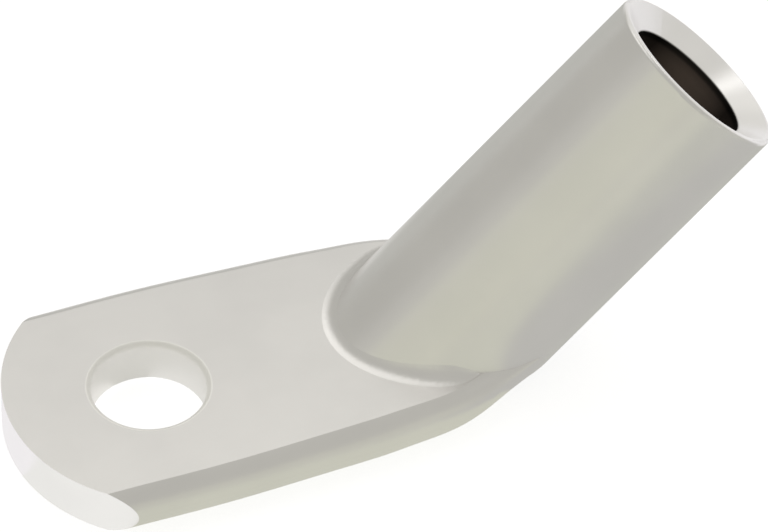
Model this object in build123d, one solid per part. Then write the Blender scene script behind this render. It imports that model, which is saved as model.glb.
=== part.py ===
from build123d import *
from math import acos, cos, radians, sin, tan
import os

# Angled cable lug: a flat bolt palm and a hollow barrel that leaves it at an angle,
# one piece of pressed tube.
# Millimetres. The origin is the centre of the bolt hole on the underside of the palm,
# +X runs from the bolt hole to the barrel, and +Z is up out of the palm.

# Palm
palm_width = 21.2
palm_thickness = 3.75
side_bulge = 2.2        # width of the rounding down each side of the palm
press_lip = 0.15        # height of that rounding that the flat dies take off
most_bulge = 0.95       # share of a cross-section's half width that a rounding may take up
tip_to_hole = 10.6      # from the tip of the palm to the centre of the bolt hole
tip_radius = 12.3       # round end of the palm, seen from above
hole_diameter = 8.4
hole_rim = 0.4          # rounding of the bolt hole's upper rim
hole_break = 0.3        # its lower rim is broken at 45 degrees
hole_to_root = 24.65    # to the root, where the barrel's axis meets the palm's top

# Barrel
barrel_diameter = 14.5
barrel_angle = 45.0     # between the barrel's axis and the palm
barrel_length = 24.9    # along the axis, from the root to the mouth
bore_diameter = 10.0
bore_depth = 17.5       # round part of the bore, from the mouth
pinch_length = 5.5      # beyond it, where the tube is pressed together
pinch_gap = 0.8         # height of the opening that is left at the end of the pinch
pinch_width = 8.4       # and its width
mouth_round = 0.35      # rounding of the outer edge of the mouth
flare_width = 1.8       # how far the flared entry widens the bore's radius
flare_depth = 1.2

# Blends between the palm and the barrel
root_fillet = 1.9       # on top, round the foot of the barrel
least_fillet = 0.3      # where it would be smaller than this, it runs out into the barrel
fillet_room = 0.7       # share of the flat beside the foot that it may take up
fillet_fade = 4         # how late it starts to shrink, where that share is less than it needs
sink = 0.01             # how deep its edges lie in the palm and in the barrel
heel_fillet = 2.2       # on the underside, where the palm turns up into the barrel

# The shoulder, where the palm narrows into the barrel. For each cross-section:
# its place along X from the root, in barrel radii; how much of the narrowing is done;
# the width of the lower and of the upper rounding, in side bulges;
# and the height of its widest point, in thicknesses.
shoulder = [
    (-2.90, 0.00, 1.00, 1.00, 0.50),
    (-2.00, 0.08, 1.00, 1.00, 0.50),
    (-1.30, 0.16, 1.00, 1.00, 0.50),
    (-0.80, 0.27, 1.07, 0.93, 0.50),
    (-0.35, 0.48, 1.24, 1.00, 0.54),
    (0.00, 0.78, 1.55, 1.15, 0.66),
    (0.35, 1.05, 1.90, 1.00, 0.85),
    (0.62, 1.42, 2.40, 0.60, 0.88),
]

palm_half = palm_width / 2
barrel_radius = barrel_diameter / 2
bore_radius = bore_diameter / 2
tilt = radians(barrel_angle)
axis_dir = Vector(cos(tilt), 0, sin(tilt))
root = Vector(hole_to_root, 0, palm_thickness)
foot = -palm_thickness / sin(tilt) - 2 * barrel_radius     # on the axis, well under the palm
reach = 4 * (hole_to_root + barrel_length + palm_width)     # past every edge of the lug
close = 0.001                                               # two sizes this near are the same


def cross_section(x, narrowing, low_round, high_round, waist):
    """One cross-section of the palm or the shoulder, on the plane across X."""
    half = palm_half - (palm_half - barrel_radius) * narrowing
    low_width = min(low_round * side_bulge, most_bulge * half)
    high_width = min(high_round * side_bulge, most_bulge * half)
    waist_z = waist * palm_thickness
    low_z = -press_lip
    high_z = palm_thickness + press_lip
    low_y = half - low_width
    high_y = half - high_width
    below = waist_z - low_z
    above = high_z - waist_z
    with BuildSketch(Plane(origin=(x, 0, 0), x_dir=(0, 1, 0), z_dir=(1, 0, 0))) as sketch:
        with BuildLine():
            Line((-low_y, low_z), (low_y, low_z))
            EllipticalCenterArc((low_y, waist_z), low_width, below, start_angle=-90, arc_size=90)
            EllipticalCenterArc((high_y, waist_z), high_width, above, start_angle=0, arc_size=90)
            Line((high_y, high_z), (-high_y, high_z))
            EllipticalCenterArc((-high_y, waist_z), high_width, above, start_angle=90, arc_size=90)
            EllipticalCenterArc((-low_y, waist_z), low_width, below, start_angle=180, arc_size=90)
        make_face()
    return sketch.sketch.face()


def layer(low, high):
    """Everything between two heights."""
    return Pos(0, 0, (low + high) / 2) * Box(reach, reach, high - low)


def axis_plane(along):
    """The plane across the barrel's axis, at a distance along it from the root."""
    return Plane(origin=root + axis_dir * along, x_dir=(0, 1, 0), z_dir=axis_dir)


def rod(radius, start, end):
    """A round rod on the barrel's axis."""
    return extrude(axis_plane(start) * Circle(radius), amount=end - start)


def tip_outline():
    """Everything on the barrel's side of the palm's round end."""
    centre_x = tip_radius - tip_to_hole
    round_end = Pos(centre_x, 0) * Circle(tip_radius)
    rest = Pos(centre_x + reach / 2, 0) * Rectangle(reach, reach)
    return extrude(round_end + rest, amount=reach, both=True)


def hole_rims(palm):
    """The edges of the bolt hole's wall, from the lowest up."""
    circles = palm.edges().filter_by(GeomType.CIRCLE)
    on_wall = circles.filter_by(lambda edge: abs(edge.radius - hole_diameter / 2) < close)
    return on_wall.sort_by(Axis.Z)


def pressed_palm():
    """The palm and the shoulder, with bulged sides between two flat faces."""
    first = shoulder[0]
    start = root.X + first[0] * barrel_radius
    step = (start + tip_to_hole + palm_thickness) / 3
    straight = [(start - step * count, *first[1:]) for count in (3, 2, 1)]
    narrowing = [(root.X + row[0] * barrel_radius, *row[1:]) for row in shoulder]
    blank = loft([cross_section(*row) for row in straight + narrowing])
    palm = blank & layer(0, palm_thickness) & tip_outline()
    hole = Cylinder(hole_diameter / 2, 4 * palm_thickness)
    palm = palm - hole
    palm = chamfer(hole_rims(palm)[0], hole_break)
    return fillet(hole_rims(palm)[-1], hole_rim)


def barrel():
    """The barrel, with its lower end rounded off against the underside."""
    back = root.X - palm_thickness / tan(tilt)
    behind = Pos(back + reach / 2, 0, reach / 2) * Box(reach, reach, reach)
    body = rod(barrel_radius, foot, barrel_length) & (layer(palm_thickness, reach) + behind)
    edge = body.edges().filter_by(GeomType.ELLIPSE).group_by(Axis.Z)[0]
    return fillet(edge, heel_fillet)


def foot_ball(turn, radius):
    """A ball that touches the palm and the barrel: its centre, and the way out of the barrel.

    The turn goes round the barrel's foot, from the middle of its front.
    """
    outward = Vector(-sin(tilt) * cos(turn), sin(turn), cos(tilt) * cos(turn))
    gap = barrel_radius - sink + radius
    along = (radius - sink - gap * outward.Z) / sin(tilt)
    return root + axis_dir * along + outward * gap, outward


def foot_section(turn, radius, inward):
    """One cross-section of the fillet: the arc that is seen, and a corner inside the metal."""
    centre, outward = foot_ball(turn, radius)
    centre = centre - outward * inward
    upward = Vector(0, 0, 1)
    between = (upward + outward).normalized()
    on_palm = centre - upward * radius
    on_barrel = centre - outward * radius
    corner = centre - between * 2 * radius
    with BuildLine() as line:
        ThreePointArc(on_palm, centre - between * radius, on_barrel)
        Polyline(on_barrel, corner, on_palm)
    return Face(Wire(line.edges()))


def foot_blend(palm):
    """The fillet round the foot of the barrel, smaller where the palm's edge comes close."""
    top = palm.faces().filter_by(Plane.XY).sort_by(Axis.Z)[-1]
    edge = top.outer_wire()
    sections = []
    degrees = 0
    radius = root_fillet
    while radius > least_fillet:
        sections.append((radians(degrees), radius, 0))
        degrees += 5
        turn = radians(degrees)
        meeting = foot_ball(turn, 0)[0] + Vector(0, 0, sink)
        room = fillet_room * edge.distance_to(meeting) if top.is_inside(meeting) else 0
        opening = acos(cos(tilt) * cos(turn))
        limit = room / tan(opening / 2) + close
        radius = (root_fillet ** -fillet_fade + limit ** -fillet_fade) ** (-1 / fillet_fade)
    sections.append((radians(degrees), least_fillet, 2 * least_fillet))
    other_side = [(-turn, radius, inward) for turn, radius, inward in reversed(sections[1:])]
    return loft([foot_section(*section) for section in other_side + sections])


def bore():
    """The round bore, its flared entry, and the pinch where the tube is pressed shut."""
    bottom = barrel_length - bore_depth
    round_bore = rod(bore_radius, bottom, barrel_length + flare_depth)
    flare = Solid.make_cone(
        bore_radius, bore_radius + 2 * flare_width, 2 * flare_depth,
        plane=axis_plane(barrel_length - flare_depth),
    )
    pinch_end = bottom - pinch_length
    side = Plane(origin=root + axis_dir * pinch_end, x_dir=axis_dir, z_dir=(0, 1, 0))
    outline = Polygon(
        (0, pinch_gap / 2),
        (0, -pinch_gap / 2),
        (pinch_length, -bore_radius),
        (pinch_length, bore_radius),
        align=None,
    )
    wedge = extrude(side * outline, amount=bore_diameter, both=True)
    taper = Solid.make_cone(
        pinch_width / 2, bore_radius, pinch_length, plane=axis_plane(pinch_end)
    )
    pinch = wedge & taper
    return round_bore + flare + pinch


palm = pressed_palm()
lug = palm + foot_blend(palm) + barrel()
rim = lug.edges().filter_by(GeomType.CIRCLE).sort_by(Axis.Z)[-1]
lug = fillet(rim, mouth_round)
lug = lug - bore()

os.makedirs("parts", exist_ok=True)
export_step(lug, "parts/cable_lug.step")
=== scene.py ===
from math import pi

import bmesh
import bpy
from mathutils import Matrix, Vector

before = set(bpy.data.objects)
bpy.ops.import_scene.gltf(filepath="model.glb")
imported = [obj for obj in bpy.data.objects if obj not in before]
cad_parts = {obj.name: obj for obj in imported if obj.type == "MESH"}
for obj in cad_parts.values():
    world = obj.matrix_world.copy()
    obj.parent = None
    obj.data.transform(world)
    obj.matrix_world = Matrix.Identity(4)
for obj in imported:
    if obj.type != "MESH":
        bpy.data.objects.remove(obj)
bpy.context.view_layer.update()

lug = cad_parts["cable_lug"]

# places on the lug, in metres, that the finish needs
barrelRoot = Vector((0.02465, 0, 0.00375))
barrelAngle = pi / 4
barrelLength = 0.0249
boreRadius = 0.005
flareDepth = 0.0012
boreTop = barrelLength - flareDepth
palmTop = 0.00375
holeRadius = 0.0042
holeRim = 0.0004

# camera: a long lens a good half metre away, on the bolt hole's side
camera = {
    "place": (-0.13335, -0.37032, 0.40528),
    "right": (0.93216, -0.36157, 0.01843),
    "up": (0.24208, 0.66035, 0.71087),
    "lens": 364.53,
    "sensorWidth": 36,
    "clip": (0.01, 20),
}


def makeCamera(values):
    cameraData = bpy.data.cameras.new("camera")
    cameraData.sensor_fit = "HORIZONTAL"
    cameraData.sensor_width = values["sensorWidth"]
    cameraData.lens = values["lens"]
    cameraData.clip_start, cameraData.clip_end = values["clip"]
    cameraObject = bpy.data.objects.new("camera", cameraData)
    bpy.context.scene.collection.objects.link(cameraObject)
    right = Vector(values["right"]).normalized()
    up = Vector(values["up"]).normalized()
    back = right.cross(up)
    turn = Matrix((right, up, back)).transposed()
    cameraObject.matrix_world = Matrix.Translation(values["place"]) @ turn.to_4x4()
    bpy.context.scene.camera = cameraObject


makeCamera(camera)
print("camera made")


def newMaterial(name):
    material = bpy.data.materials.new(name)
    material.use_nodes = True
    tree = material.node_tree
    tree.nodes.clear()
    output = tree.nodes.new("ShaderNodeOutputMaterial")
    return material, tree, output


def addNode(tree, kind, **settings):
    node = tree.nodes.new(kind)
    for key, value in settings.items():
        setattr(node, key, value)
    return node


def addNoise(tree, vector, size, detail):
    node = addNode(tree, "ShaderNodeTexNoise")
    node.inputs["Scale"].default_value = size
    node.inputs["Detail"].default_value = detail
    tree.links.new(vector, node.inputs["Vector"])
    return node.outputs["Fac"]


# each stop has its place from 0 to 1 and its colour
def addRamp(tree, source, stops):
    node = addNode(tree, "ShaderNodeValToRGB")
    elements = node.color_ramp.elements
    while len(elements) < len(stops):
        elements.new(0.5)       # its real place is set below
    for element, (place, colour) in zip(elements, stops):
        element.position = place
        element.color = (*colour, 1)
    tree.links.new(source, node.inputs["Fac"])
    return node.outputs["Color"]


# below is the bump that this one lies on
def addBump(tree, height, strength, distance, below=None):
    node = addNode(tree, "ShaderNodeBump")
    node.inputs["Strength"].default_value = strength
    node.inputs["Distance"].default_value = distance
    tree.links.new(height, node.inputs["Height"])
    if below:
        tree.links.new(below, node.inputs["Normal"])
    return node.outputs["Normal"]


# low where the source is at start, high where it is at end, and no further beyond them
def fade(tree, source, start, end, low=0, high=1):
    node = addNode(tree, "ShaderNodeMapRange")
    node.inputs["From Min"].default_value = start
    node.inputs["From Max"].default_value = end
    node.inputs["To Min"].default_value = low
    node.inputs["To Max"].default_value = high
    tree.links.new(source, node.inputs["Value"])
    return node.outputs["Result"]


def times(tree, first, second):
    node = addNode(tree, "ShaderNodeMath", operation="MULTIPLY")
    tree.links.new(first, node.inputs[0])
    tree.links.new(second, node.inputs[1])
    return node.outputs["Value"]


def scaled(tree, colour, factor):
    node = addNode(tree, "ShaderNodeVectorMath", operation="SCALE")
    tree.links.new(colour, node.inputs[0])
    tree.links.new(factor, node.inputs["Scale"])
    return node.outputs["Vector"]


# the first where the factor is 0 and the second where it is 1; the second may be a plain value
def mixed(tree, kind, factor, first, second):
    node = addNode(tree, "ShaderNodeMix", data_type=kind)
    tree.links.new(factor, node.inputs["Factor"])
    tree.links.new(first, node.inputs["A"])
    if isinstance(second, bpy.types.NodeSocket):
        tree.links.new(second, node.inputs["B"])
    else:
        node.inputs["B"].default_value = second
    return node.outputs["Result"]


def separated(tree, vector):
    node = addNode(tree, "ShaderNodeSeparateXYZ")
    tree.links.new(vector, node.inputs["Vector"])
    return node.outputs


# how far a place lies from the z axis
def fromAxis(tree, parts):
    across = addNode(tree, "ShaderNodeCombineXYZ")
    tree.links.new(parts["X"], across.inputs["X"])
    tree.links.new(parts["Y"], across.inputs["Y"])
    length = addNode(tree, "ShaderNodeVectorMath", operation="LENGTH")
    tree.links.new(across.outputs["Vector"], length.inputs[0])
    return length.outputs["Value"]


# satin tin plating with a bare bolt hole, and painted shade down the bore; lengths in metres
tin = {
    "pale": (0.93, 0.917, 0.91),
    "dull": (0.90, 0.888, 0.882),
    "patchSize": 160,               # broad faint patches a metre
    "patchDetail": 3,
    "patchEdges": (0.35, 0.65),     # noise under the first is dull, and over the second pale
    "shadedFarSide": 0.89,               # painted shade: how bright the plating is on the far side, against the near one
    "sideReach": 0.01,              # from the middle to where each side has its full tone
    "roughness": (0.27, 0.33),
    "drawnSize": (900, 900, 25),    # drawn lines a metre, across the barrel and along it
    "drawnBump": 0.06,
    "drawnDepth": 0.0001,
    "grainSize": 9000,
    "grainBump": 0.03,
    "grainDepth": 0.00002,
    "bumpDetail": 2,
    "bare": (1.0, 0.99, 0.975),     # the punched wall of the bolt hole
    "wallRoughness": 0.5,
    "rimRoughness": 0.9,            # the rounded rim of the bolt hole is matt and not metallic
    "rimGloss": 0.0001,             # but for its outermost strip, as wide as this
    "rimFade": 0.0001,              # height of the soft lower edge of the matt rim
    "rimEdge": 0.00005,             # half the width of its soft outer edge
    "boreShadeReach": 0.0038,           # how far down the bore the tones of its painted shade change
    # painted shade in the bore, darkest at its entry and less dark deeper in: each stop has its
    # place and colour
    "boreShadeTones": [
        (0.0, (0.04, 0.034, 0.03)),
        (0.09, (0.07, 0.06, 0.052)),
        (0.15, (0.23, 0.185, 0.158)),
        (0.3, (0.315, 0.252, 0.215)),
        (0.5, (0.345, 0.276, 0.235)),
        (1.0, (0.23, 0.20, 0.18)),
    ],
    "litStripeAcross": (-0.693, 0.72, 0),   # across the barrel, from the middle of the bore's painted stripe of paler light
    "litStripeWidth": 0.0036,           # from the middle of the stripe to where it has faded
    "litStripeSides": 0.2,              # how bright the bore is there, against the middle
    "boreRoughness": 0.7,
    "boreSkin": (0.00012, 0.00002),     # outside the bore's wall: where its painted shade ends, and is full
    "boreEdge": 0.0001,             # half the height of the painted shade's soft upper edge
    "boreStart": (0.001, 0.002),    # above the barrel's root: where the painted shade starts, and is full
}


# the barrel's own coordinates: z along its axis, from the root
def findBarrel(tree, place):
    node = addNode(tree, "ShaderNodeMapping", vector_type="TEXTURE")
    node.inputs["Location"].default_value = barrelRoot
    node.inputs["Rotation"].default_value = (0, barrelAngle, 0)
    tree.links.new(place, node.inputs["Vector"])
    return node.outputs["Vector"]


# 1 inside the bore, below its flared entry: where the painted shade goes
def findBore(tree, alongBarrel, values):
    parts = separated(tree, alongBarrel)
    outer, inner = values["boreSkin"]
    within = fade(tree, fromAxis(tree, parts), boreRadius + outer, boreRadius + inner)
    deep = fade(tree, parts["Z"], boreTop + values["boreEdge"], boreTop - values["boreEdge"])
    started = fade(tree, parts["Z"], *values["boreStart"])
    return times(tree, times(tree, within, deep), started)


# the first is 1 on the bolt hole's wall and rim, the second only on the matt part of the rim
def findHole(tree, place, values):
    parts = separated(tree, place)
    distance = fromAxis(tree, parts)
    edge = values["rimEdge"]
    rimEnd = holeRadius + holeRim
    atHole = fade(tree, distance, rimEnd + edge, rimEnd - edge)
    mattEnd = rimEnd - values["rimGloss"]
    inRim = fade(tree, distance, mattEnd + edge, mattEnd - edge)
    rimLow = palmTop - holeRim
    onTop = fade(tree, parts["Z"], rimLow - values["rimFade"], rimLow)
    return atHole, times(tree, inRim, onTop)


# painted shade: the bore is darkened, with tones that change down it, and a painted stripe of paler
# light along one side of its wall
def makeBoreShade(tree, alongBarrel, values):
    along = separated(tree, alongBarrel)["Z"]
    depth = fade(tree, along, boreTop, boreTop - values["boreShadeReach"])
    sideways = addNode(tree, "ShaderNodeVectorMath", operation="DOT_PRODUCT")
    tree.links.new(alongBarrel, sideways.inputs[0])
    sideways.inputs[1].default_value = values["litStripeAcross"]
    squared = times(tree, sideways.outputs["Value"], sideways.outputs["Value"])
    stripe = fade(tree, squared, 0, values["litStripeWidth"] ** 2, 1, values["litStripeSides"])
    return scaled(tree, addRamp(tree, depth, values["boreShadeTones"]), stripe)


# patches, with painted shade making the far side of the lug a little darker than the near one
def makeShadedPlating(tree, patches, alongBarrel, values):
    dullEnd, paleStart = values["patchEdges"]
    colour = addRamp(tree, patches, [(dullEnd, values["dull"]), (paleStart, values["pale"])])
    across = separated(tree, alongBarrel)["Y"]
    reach = values["sideReach"]
    return scaled(tree, colour, fade(tree, across, -reach, reach, 1, values["shadedFarSide"]))


# drawn lines along the tube under the plating, and its fine grain
def makeRelief(tree, place, alongBarrel, values):
    stretched = addNode(tree, "ShaderNodeMapping")
    stretched.inputs["Scale"].default_value = values["drawnSize"]
    tree.links.new(alongBarrel, stretched.inputs["Vector"])
    lines = addNoise(tree, stretched.outputs["Vector"], 1, values["bumpDetail"])
    drawn = addBump(tree, lines, values["drawnBump"], values["drawnDepth"])
    grain = addNoise(tree, place, values["grainSize"], values["bumpDetail"])
    return addBump(tree, grain, values["grainBump"], values["grainDepth"], drawn)


def makeTin(values):
    material, tree, output = newMaterial("satinTin")
    link = tree.links.new
    place = addNode(tree, "ShaderNodeTexCoord").outputs["Object"]
    alongBarrel = findBarrel(tree, place)
    inBore = findBore(tree, alongBarrel, values)
    atHole, atRim = findHole(tree, place, values)
    patches = addNoise(tree, place, values["patchSize"], values["patchDetail"])
    shader = addNode(tree, "ShaderNodeBsdfPrincipled")

    # the plating's patches, and painted shade on its far side
    plating = makeShadedPlating(tree, patches, alongBarrel, values)
    metal = mixed(tree, "RGBA", atHole, plating, (*values["bare"], 1))
    # painted shade, with a painted stripe of light, inside the bore
    colour = mixed(tree, "RGBA", inBore, metal, makeBoreShade(tree, alongBarrel, values))
    link(colour, shader.inputs["Base Color"])
    link(fade(tree, atRim, 1, 0), shader.inputs["Metallic"])

    sheen = fade(tree, patches, 0, 1, *values["roughness"])
    wall = mixed(tree, "FLOAT", atHole, sheen, values["wallRoughness"])
    rim = mixed(tree, "FLOAT", atRim, wall, values["rimRoughness"])
    roughness = mixed(tree, "FLOAT", inBore, rim, values["boreRoughness"])
    link(roughness, shader.inputs["Roughness"])

    link(makeRelief(tree, place, alongBarrel, values), shader.inputs["Normal"])
    link(shader.outputs["BSDF"], output.inputs["Surface"])
    return material


lug.data.materials.clear()
lug.data.materials.append(makeTin(tin))
print("tin plating made")


def addPiece(name, shape, material):
    mesh = bpy.data.meshes.new(name)
    shape.to_mesh(mesh)
    shape.free()
    mesh.materials.append(material)
    piece = bpy.data.objects.new(name, mesh)
    bpy.context.scene.collection.objects.link(piece)
    return piece


# a plain white floor; its own glow keeps it white, and it still takes the lug's shadow
floor = {
    "radius": 1.6,
    "sides": 64,
    "colour": (0.8, 0.8, 0.8),
    "roughness": 0.9,
    "glow": 0.63,
    "glowColour": (0.97, 0.975, 1.0),   # a little blue, against the warm light of the room
}


def makeFloor(values):
    material, tree, output = newMaterial("floorWhite")
    shader = addNode(tree, "ShaderNodeBsdfPrincipled")
    shader.inputs["Base Color"].default_value = (*values["colour"], 1)
    shader.inputs["Roughness"].default_value = values["roughness"]
    shader.inputs["Specular IOR Level"].default_value = 0
    shader.inputs["Emission Color"].default_value = (*values["glowColour"], 1)
    shader.inputs["Emission Strength"].default_value = values["glow"]
    tree.links.new(shader.outputs["BSDF"], output.inputs["Surface"])
    shape = bmesh.new()
    bmesh.ops.create_circle(shape, cap_ends=True, segments=values["sides"], radius=values["radius"])
    floorObject = addPiece("floor", shape, material)


makeFloor(floor)
print("floor made")

# painted reflections: glowing cards, grey to white, lying round the palm and under its hole, which
# only reflections see;
# they stand in for the floor, grey where it would lie in the lug's shade. Each has its lowest and
# highest x and y in metres, and its colour
cardHeight = 0.00002
cards = {
    "frontCard": ((-0.0055, -0.7), (0.026, -0.006), (0.612, 0.615, 0.53)),
    "rightCard": ((0.026, -0.03), (0.7, -0.006), (0.52, 0.515, 0.488)),
    "frontRightCard": ((0.026, -0.7), (0.7, -0.03), (0.55, 0.55, 0.50)),
    "leftCard": ((-0.7, -0.7), (-0.0055, -0.03), (0.68, 0.68, 0.57)),
    "tipCard": ((-0.022, -0.03), (-0.0055, -0.002), (0.93, 0.93, 0.905)),
    "tipBackCard": ((-0.022, -0.002), (-0.0055, 0.022), (0.99, 0.975, 0.99)),
    "leftBackCard": ((-0.7, -0.03), (-0.022, 0.022), (0.56, 0.56, 0.52)),
    "backCard": ((-0.7, 0.022), (0.06, 0.7), (0.545, 0.545, 0.51)),
    "backNearCard": ((-0.0055, 0.006), (0.06, 0.022), (0.78, 0.77, 0.74)),
    "farCard": ((0.06, -0.006), (0.7, 0.7), (0.92, 0.91, 0.905)),
    "underCard": ((0.006, -0.006), (0.06, 0.006), (0.53, 0.53, 0.49)),
    "holeCard": ((-0.001, -0.005), (0.0013, 0.005), (0.62, 0.615, 0.58)),
    "holeLeftCard": ((-0.005, -0.005), (-0.001, 0.005), (0.88, 0.87, 0.84)),
    "holeRightCard": ((0.0013, -0.005), (0.005, 0.005), (0.78, 0.775, 0.75)),
}


def makeCards():
    for name, (low, high, colour) in cards.items():
        material, tree, output = newMaterial(name)
        # each card glows with its colour: a painted reflection of the floor, not a lamp
        glow = addNode(tree, "ShaderNodeEmission")
        glow.inputs["Color"].default_value = (*colour, 1)
        tree.links.new(glow.outputs["Emission"], output.inputs["Surface"])
        shape = bmesh.new()
        bmesh.ops.create_grid(shape, x_segments=1, y_segments=1, size=0.5)
        bmesh.ops.scale(shape, vec=(high[0] - low[0], high[1] - low[1], 1), verts=shape.verts)
        centre = ((low[0] + high[0]) / 2, (low[1] + high[1]) / 2, cardHeight)
        bmesh.ops.translate(shape, vec=centre, verts=shape.verts)
        card = addPiece(name, shape, material)
        card.visible_camera = False
        card.visible_diffuse = False
        card.visible_shadow = False


makeCards()
print("cards made")

# light: a pale grey room and soft panels. Each panel has its direction from the lug,
# its sides in metres, its colour, and how bright it looks
room = (0.495, 0.488, 0.452)
panelAim = Vector((0.02, 0, 0.01))      # the place on the lug that the panels face
panelDistance = 0.9
panels = {
    "ceiling": ((-0.10, 0.477, 0.879), (0.40, 0.71), (1.0, 0.99, 0.97), 0.54),
    "backRight": ((0.46, 0.60, 0.66), (0.36, 0.5), (1.0, 0.99, 0.97), 0.155),
    "backStrip": ((0.04, 0.80, 0.60), (0.36, 0.42), (1.0, 0.99, 0.97), 0.30),
    "backWall": ((0.82, 0.50, 0.43), (1.5, 0.8), (1.0, 0.99, 0.98), 0.29),
    "left": ((-0.88, 0.03, 0.47), (0.42, 0.36), (1.0, 0.99, 0.98), 0.065),
    "frontLow": ((-0.47, -0.88, 0.06), (0.36, 0.26), (1.0, 1.0, 0.55), 0.05),
    "frontLeft": ((-0.79, -0.55, 0.30), (0.9, 0.7), (0.95, 1.0, 0.62), 0.135),
    "front": ((0.37, -0.91, 0.20), (0.7, 0.3), (0.95, 1.0, 0.62), 0.08),
    "spark": ((0.64, 0.36, 0.68), (0.12, 0.12), (1.0, 1.0, 1.0), 2.0),
}


def makeLight():
    world = bpy.data.worlds.new("room")
    bpy.context.scene.world = world
    world.use_nodes = True
    background = world.node_tree.nodes["Background"]
    background.inputs["Color"].default_value = (*room, 1)
    background.inputs["Strength"].default_value = 1
    for name, (direction, sides, colour, brightness) in panels.items():
        lamp = bpy.data.lights.new(name, "AREA")
        lamp.shape = "RECTANGLE"
        lamp.size, lamp.size_y = sides
        lamp.color = colour
        lamp.energy = brightness * pi * sides[0] * sides[1]
        lampObject = bpy.data.objects.new(name, lamp)
        bpy.context.scene.collection.objects.link(lampObject)
        way = Vector(direction).normalized()
        lampObject.location = panelAim + way * panelDistance
        lampObject.rotation_mode = "QUATERNION"
        lampObject.rotation_quaternion = way.to_track_quat("Z", "Y")
        lampObject.visible_camera = False


makeLight()
print("light made")

bpy.context.scene.view_settings.view_transform = "Standard"
